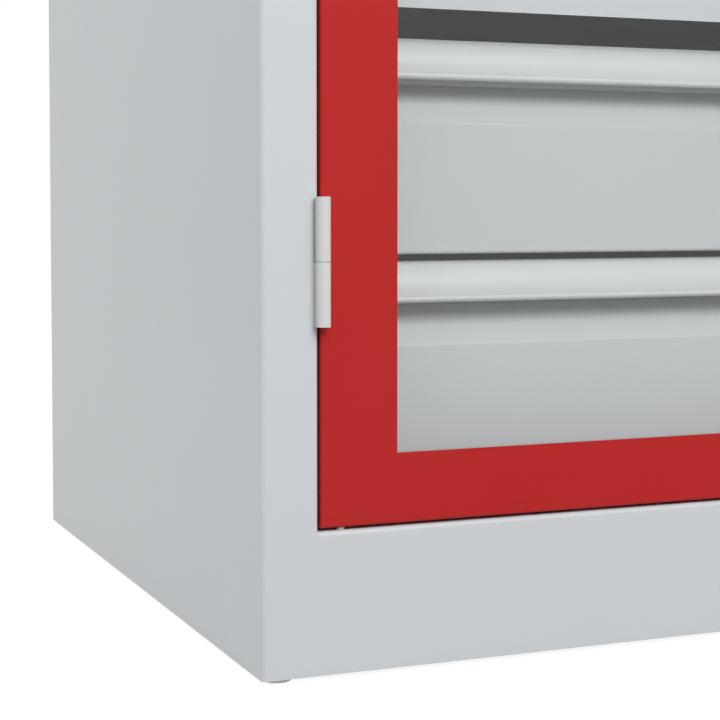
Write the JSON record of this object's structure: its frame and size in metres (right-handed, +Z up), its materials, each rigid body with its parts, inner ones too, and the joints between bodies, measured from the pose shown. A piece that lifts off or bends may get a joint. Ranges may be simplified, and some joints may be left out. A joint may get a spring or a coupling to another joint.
{
  "type": "storage cabinet",
  "caption": "Sheet-steel storage cabinet with a hinged window door, a turning lever with lock rods, drawers on telescopic slides and shelves.",
  "frame": {"origin": "on the floor, under the middle of the bounding box", "axes": "+X to the right seen from the front, +Y from the front to the back, +Z up"},
  "size_m": [0.6, 0.638, 1],
  "materials": {
    "body_paint": "light-grey powder coat",
    "zinc_steel": "zinc-plated steel",
    "door_paint": "red powder coat",
    "drawer_paint": "light-grey powder coat",
    "grip_plastic": "light-grey satin",
    "acrylic": "clear acrylic sheet",
    "black_plastic": "black moulded plastic",
    "rubber": "black rubber",
    "nylon": "white nylon"
  },
  "bodies": {
    "carcass": {"left_side_panel": "body_paint", "right_side_panel": "body_paint", "back_panel": "body_paint", "roof_panel": "body_paint", "floor_panel": "body_paint", "plinth_sill": "body_paint", "header_rail": "body_paint", "foot_plates": "zinc_steel", "levelling_feet": "zinc_steel", "left_slide_carrier": "body_paint", "right_slide_carrier": "body_paint", "divider_shelf": "body_paint", "adjustable_shelf": "body_paint", "shelf_rails": "zinc_steel", "shelf_clips": "zinc_steel", "lower_cabinet_rails": "zinc_steel", "upper_cabinet_rails": "zinc_steel", "hinge_fixed_knuckles": "body_paint", "hinge_pins": "zinc_steel", "hinge_washers": "zinc_steel", "rod_keepers": "zinc_steel", "door_bumpers": "rubber", "sill_glide": "nylon"},
    "door": {"door_frame": "door_paint", "window_pane": "acrylic", "pane_gasket": "rubber", "pane_clamps": "zinc_steel", "clamp_screws": "zinc_steel", "hinge_door_knuckles": "body_paint", "handle_rosette": "black_plastic", "lock_case": "zinc_steel", "lock_cover": "zinc_steel", "rod_guides": "black_plastic"},
    "handle": {"lever_handle": "black_plastic", "lock_crank": "zinc_steel"},
    "lock_plug": {"lock_cylinder": "zinc_steel"},
    "upper_rod": {"upper_lock_rod": "zinc_steel"},
    "lower_rod": {"lower_lock_rod": "zinc_steel"},
    "lower_drawer": {"lower_drawer_box": "drawer_paint", "lower_drawer_front": "drawer_paint", "lower_drawer_top_rail": "drawer_paint", "lower_drawer_handle": "grip_plastic", "lower_drawer_end_caps": "grip_plastic", "lower_drawer_rails": "zinc_steel"},
    "lower_middle": {"lower_middle_rails": "zinc_steel"},
    "upper_drawer": {"upper_drawer_box": "drawer_paint", "upper_drawer_front": "drawer_paint", "upper_drawer_top_rail": "drawer_paint", "upper_drawer_handle": "grip_plastic", "upper_drawer_end_caps": "grip_plastic", "upper_drawer_rails": "zinc_steel"},
    "upper_middle": {"upper_middle_rails": "zinc_steel"}
  },
  "joints": [
    {"name": "door_swing", "type": "hinge", "parent": "carcass", "child": "door", "pos_m": [-0.2612, -0.2858, 0.5196], "axis": [0, 0, -1], "range_deg": [0, 180]},
    {"name": "handle_turn", "type": "hinge", "parent": "door", "child": "handle", "pos_m": [0.24, -0.281, 0.5196], "axis": [0, 1, 0], "range_deg": [0, 90]},
    {"name": "key_turn", "type": "hinge", "parent": "handle", "child": "lock_plug", "pos_m": [0.24, -0.281, 0.5196], "axis": [0, 1, 0], "range_deg": [0, 90]},
    {"name": "upper_rod_slide", "type": "slide", "parent": "door", "child": "upper_rod", "axis": [0, 0, 1], "range_m": [0, 0.01556]},
    {"name": "lower_rod_slide", "type": "slide", "parent": "door", "child": "lower_rod", "axis": [0, 0, -1], "range_m": [0, 0.01556]},
    {"name": "lower_drawer_slide", "type": "slide", "parent": "carcass", "child": "lower_drawer", "axis": [0, -1, 0], "range_m": [0, 0.33]},
    {"name": "lower_middle_slide", "type": "slide", "parent": "carcass", "child": "lower_middle", "axis": [0, -1, 0], "range_m": [0, 0.165]},
    {"name": "upper_drawer_slide", "type": "slide", "parent": "carcass", "child": "upper_drawer", "axis": [0, -1, 0], "range_m": [0, 0.33]},
    {"name": "upper_middle_slide", "type": "slide", "parent": "carcass", "child": "upper_middle", "axis": [0, -1, 0], "range_m": [0, 0.165]}
  ],
  "couplings": [
    {"joint": "upper_rod_slide", "follows": "handle_turn", "m_per_rad": 0.009903},
    {"joint": "lower_rod_slide", "follows": "handle_turn", "m_per_rad": 0.009903},
    {"joint": "lower_drawer_slide", "follows": "door_swing", "m_per_rad": 0.105},
    {"joint": "lower_middle_slide", "follows": "door_swing", "m_per_rad": 0.0525},
    {"joint": "upper_drawer_slide", "follows": "door_swing", "m_per_rad": 0.105},
    {"joint": "upper_middle_slide", "follows": "door_swing", "m_per_rad": 0.0525}
  ]
}
